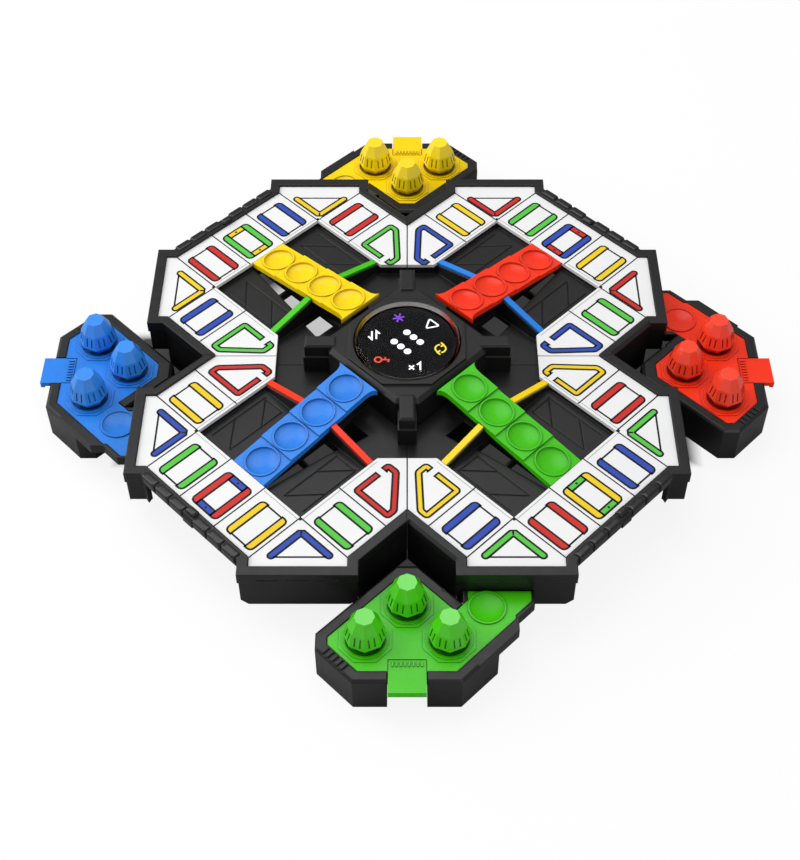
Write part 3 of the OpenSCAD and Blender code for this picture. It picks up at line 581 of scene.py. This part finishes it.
def pillow(sheet, centre, axes, size):
    """A rounded pad: half length, half width and height along three axes, about the middle of its base."""
    long_steps, wide_steps = 16, 10
    first = len(sheet.points)
    for i in range(long_steps + 1):
        a = math.sin(math.pi / 2 * (2 * i / long_steps - 1))
        for j in range(wide_steps + 1):
            b = math.sin(math.pi / 2 * (2 * j / wide_steps - 1))
            rise = math.sqrt(max(0.0, (1 - abs(a) ** 8) * (1 - abs(b) ** 3)))
            shift = [axis * share * reach for axis, share, reach in zip(axes, (a, b, rise), size)]
            sheet.points.append(tuple(centre + shift[0] + shift[1] + shift[2]))
    sheet.quads(first, long_steps, wide_steps + 1)


def rim_pad(sheet, corner, axes):
    """A pad that wraps round an edge and flattens at its two ends: axes along the edge, outward and up."""
    section = rounded(PAD_OUTLINE, PAD_ROUND)
    steps = 18
    first = len(sheet.points)
    for i in range(steps + 1):
        a = math.sin(math.pi / 2 * (2 * i / steps - 1))
        rise = math.sqrt(1 - abs(a) ** 12)
        for out, up in section:
            foot = min(out, 0), min(up, 0)
            out, up = (f + (p - f) * rise for f, p in zip(foot, (out, up)))
            sheet.points.append(tuple(corner + axes[0] * a * PAD_HALF + axes[1] * out + axes[2] * up))
    sheet.quads(first, steps, len(section))


def rim_pads(k):
    """Six pads along one diagonal rim, three on each side of the latch, and the latch's rounded top."""
    turn = math.radians(90 * k - 45)
    out = Vector((math.cos(turn), math.sin(turn), 0))
    side = Vector((-math.sin(turn), math.cos(turn), 0))
    up = Vector((0, 0, 1))
    sheet = Sheet()
    corner = out * (ROW_END + RIM_W) + up * RIM_TOP
    for way in (-1, 1):
        for i in range(3):
            rim_pad(sheet, corner + side * way * (LATCH_W / 2 + (i + 0.5) * PAD_PITCH), (side, out, up))
    latch = out * (ROW_END + LATCH_OUT) + up * (RIM_TOP + LATCH_LIFT)
    pillow(sheet, latch, (side, out, up), LATCH_TOP)
    sheet.make("rim_pads_" + COLOURS[k], MATERIALS["black_gloss"], "black_plastic", "board", True)


# Signs on the display face: pips of a die and six plain symbols

def pip_places():
    """Two rows of three pips, turned by an eighth."""
    turn = math.radians(-45)
    for row in (-0.5, 0.5):
        for i in (-1, 0, 1):
            x, y = i * PIP_STEP, row * PIP_ROW
            yield x * math.cos(turn) - y * math.sin(turn), x * math.sin(turn) + y * math.cos(turn)


def star():
    """Three lines that cross."""
    return [[(-3 * math.cos(a), -3 * math.sin(a)), (3 * math.cos(a), 3 * math.sin(a))]
            for a in (math.radians(15 + 60 * i) for i in range(3))]


def triangle():
    """A triangle with round corners."""
    smooth = rounded(arc(0, 0, 3.9, -135, 105, 2), 1.2, 3, True)
    return [smooth + [smooth[0]]]


def loop():
    """Two half rings that chase each other, each with an arrow tick."""
    ticks = [[(0.2, 4), (1.6, 2.6), (0.2, 1.2)], [(-0.2, -1.2), (-1.6, -2.6), (-0.2, -4)]]
    return [arc(0, 0, 2.6, 75, -85, 10), arc(0, 0, 2.6, 255, 95, 10)] + ticks


def arrows():
    """One arrow down and one up."""
    up = [[(1.1, -2.6), (1.1, 2.8), (2.9, 0.8)]]
    down = [[(-1.1, 2.6), (-1.1, -2.8), (-2.9, -0.8)]]
    return up + down


def ring_and_bar():
    """A ring on a bar with two short teeth."""
    teeth = [[(1.4, 0), (1.4, 1.6)], [(2.9, 0), (2.9, -1.6)]]
    return [arc(-2, 0, 1.7, 0, 360, 14), [(-0.3, 0), (3.6, 0)]] + teeth


def numeral_one():
    """A multiplication sign and a numeral."""
    cross = [[(-3.4, -1.9), (-0.9, 0.7)], [(-3.4, 0.7), (-0.9, -1.9)]]
    return cross + [[(0.5, 1.1), (2.1, 2.7), (2.1, -2.3)]]


def display_signs():
    """The pips in the middle and the symbols round them."""
    sheets = {name: Sheet() for name in SIGN_COLOURS}
    z = FACE_TOP + SIGN_LIFT
    for x, y in pip_places():
        sheets["white"].polygon(disc(x, y, PIP_R, 24), z)
    signs = [("purple", star), ("white", triangle), ("yellow", loop), ("white", numeral_one),
             ("red", ring_and_bar), ("white", arrows)]
    for i, (colour, draw) in enumerate(signs):
        angle = math.radians(RING_TURN - 60 * i)
        cx, cy = RING_R * math.cos(angle), RING_R * math.sin(angle)
        for path in draw():
            for part in ribbon([(cx + x, cy + y) for x, y in path], SIGN_W):
                sheets[colour].polygon(part, z)
    for colour, sheet in sheets.items():
        glow = glowing("glow_" + colour, SIGN_COLOURS[colour], 1.0)
        sheet.make("sign_" + colour, glow, "light_white", "roll_button")


def display_collar():
    """The bright wall inside the window's edge, with painted reflections of the home columns."""
    steps = 96
    sheet = Sheet()
    (r0, z0), (r1, z1) = COLLAR
    low, high = disc(0, 0, r0, steps), disc(0, 0, r1, steps)
    sheet.points = [(x, y, FACE_TOP + z0) for x, y in low] + [(x, y, FACE_TOP + z1) for x, y in high]
    sheet.faces = [(i, (i + 1) % steps, (i + 1) % steps + steps, i + steps) for i in range(steps)]
    sheet.make("display_collar", painted_reflection_wall("painted_reflection_wall"), "steel", "roll_button")


# Stage

def painted_floor_shade(tree):
    """How pale the floor is: 1 in the open, painted shadow below the board, and painted light, grey, on the
    lit side.
    """
    place = tree.nodes.new("ShaderNodeTexCoord")
    parts = tree.nodes.new("ShaderNodeSeparateXYZ")
    tree.links.new(place.outputs["Object"], parts.inputs[0])
    reach = tree.nodes.new("ShaderNodeVectorMath")
    reach.operation = "LENGTH"
    tree.links.new(place.outputs["Object"], reach.inputs[0])
    across, along = [maths(tree, "ABSOLUTE", parts.outputs[axis], 0.0) for axis in "XY"]
    past_rim = step(tree, reach.outputs["Value"], *RIM_FADE, 1.0)
    past_sides = [step(tree, across, *NOTCH_FADE_X, 1.0), step(tree, along, *NOTCH_FADE_Y, 1.0)]
    open_floor = maths(tree, "MULTIPLY", past_rim, maths(tree, "MAXIMUM", *past_sides))
    # Painted light: grey floor near the hub below the board, on its left side and behind the slant
    near_hub = step(tree, reach.outputs["Value"], *GREY_REACH, 1.0)
    left = step(tree, parts.outputs["X"], *GREY_LEFT, PAINTED_LIGHT)
    slant = maths(tree, "SUBTRACT", parts.outputs["Y"], parts.outputs["X"])
    behind = step(tree, slant, *GREY_BEHIND, 1.0)
    painted_lit_side = maths(tree, "MULTIPLY", near_hub, maths(tree, "MULTIPLY", left, behind))
    return maths(tree, "MAXIMUM", maths(tree, "MAXIMUM", open_floor, painted_lit_side), PAINTED_SHADOW)


def floor():
    """A floor that the camera sees as white, keeps a faint shadow, and has painted shadow and light below
    the board.
    """
    data = bpy.data.meshes.new("floor")
    corners = [(x * FLOOR_HALF, y * FLOOR_HALF, 0) for x, y in ((-1, -1), (1, -1), (1, 1), (-1, 1))]
    data.from_pydata(corners, [], [(0, 1, 2, 3)])
    piece = bpy.data.objects.new("floor", data)
    bpy.context.scene.collection.objects.link(piece)
    made, tree, shader = new_material("floor_white")
    shader.inputs["Roughness"].default_value = 0.9
    # Painted shadow and painted light below the board, in the floor's colour and glow
    painted_shading = painted_floor_shade(tree)
    path = tree.nodes.new("ShaderNodeLightPath")
    seen = step(tree, path.outputs["Is Camera Ray"], 0.0, 1.0, FLOOR_SEEN)
    shade = maths(tree, "MAXIMUM", seen, FLOOR_BOUNCE)
    tree.links.new(maths(tree, "MULTIPLY", painted_shading, shade), shader.inputs["Base Color"])
    glow = tree.nodes.new("ShaderNodeEmission")
    mix = tree.nodes.new("ShaderNodeMixShader")
    white = maths(tree, "MULTIPLY", path.outputs["Is Camera Ray"], maths(tree, "MULTIPLY", painted_shading, FLOOR_GLOW))
    tree.links.new(white, mix.inputs["Fac"])
    tree.links.new(shader.outputs["BSDF"], mix.inputs[1])
    tree.links.new(glow.outputs["Emission"], mix.inputs[2])
    tree.links.new(mix.outputs["Shader"], tree.nodes["Material Output"].inputs["Surface"])
    data.materials.append(made)


def world():
    """Even white surroundings; the camera sees plain white."""
    made = bpy.data.worlds.new("studio")
    bpy.context.scene.world = made
    made.use_nodes = True
    tree = made.node_tree
    light = tree.nodes["Background"]
    light.inputs["Color"].default_value = (1, 1, 1, 1)
    light.inputs["Strength"].default_value = WORLD_LIGHT
    seen = tree.nodes.new("ShaderNodeBackground")
    seen.inputs["Color"].default_value = (1, 1, 1, 1)
    path = tree.nodes.new("ShaderNodeLightPath")
    mix = tree.nodes.new("ShaderNodeMixShader")
    tree.links.new(path.outputs["Is Camera Ray"], mix.inputs["Fac"])
    tree.links.new(light.outputs["Background"], mix.inputs[1])
    tree.links.new(seen.outputs["Background"], mix.inputs[2])
    tree.links.new(mix.outputs["Shader"], tree.nodes["World Output"].inputs["Surface"])


def lamp(name, place, size, power):
    """A round soft lamp that shines at the middle of the board."""
    data = bpy.data.lights.new(name, "AREA")
    data.shape = "DISK"
    data.size = size
    data.energy = power
    piece = bpy.data.objects.new(name, data)
    bpy.context.scene.collection.objects.link(piece)
    piece.location = place
    piece.rotation_euler = (-Vector(place)).to_track_quat("-Z", "Y").to_euler()


def camera():
    """The photograph's view, aimed at the middle of the tile plane."""
    target = Vector((0, 0, PLATE_TOP * MM))
    back = Vector((0, -math.cos(CAMERA_ELEVATION), math.sin(CAMERA_ELEVATION)))
    data = bpy.data.cameras.new("camera")
    data.sensor_width = SENSOR
    long_side = max(IMAGE_W, IMAGE_H)
    data.lens = FOCAL_PX * SENSOR / long_side
    data.shift_x = -(CENTRE_PX[0] - IMAGE_W / 2) / long_side
    data.shift_y = (CENTRE_PX[1] - IMAGE_H / 2) / long_side
    data.clip_start = 0.01
    piece = bpy.data.objects.new("camera", data)
    bpy.context.scene.collection.objects.link(piece)
    piece.location = target + back * CAMERA_FAR
    piece.rotation_euler = (-back).to_track_quat("-Z", "Y").to_euler()
    bpy.context.scene.camera = piece


dress_nodes()
for k in range(4):
    print_arm(k)
    rim_pads(k)
display_signs()
display_collar()
floor()
world()
for name, (place, size, power) in LAMPS.items():
    lamp(name, place, size, power)
camera()
bpy.context.scene.view_settings.view_transform = "Standard"
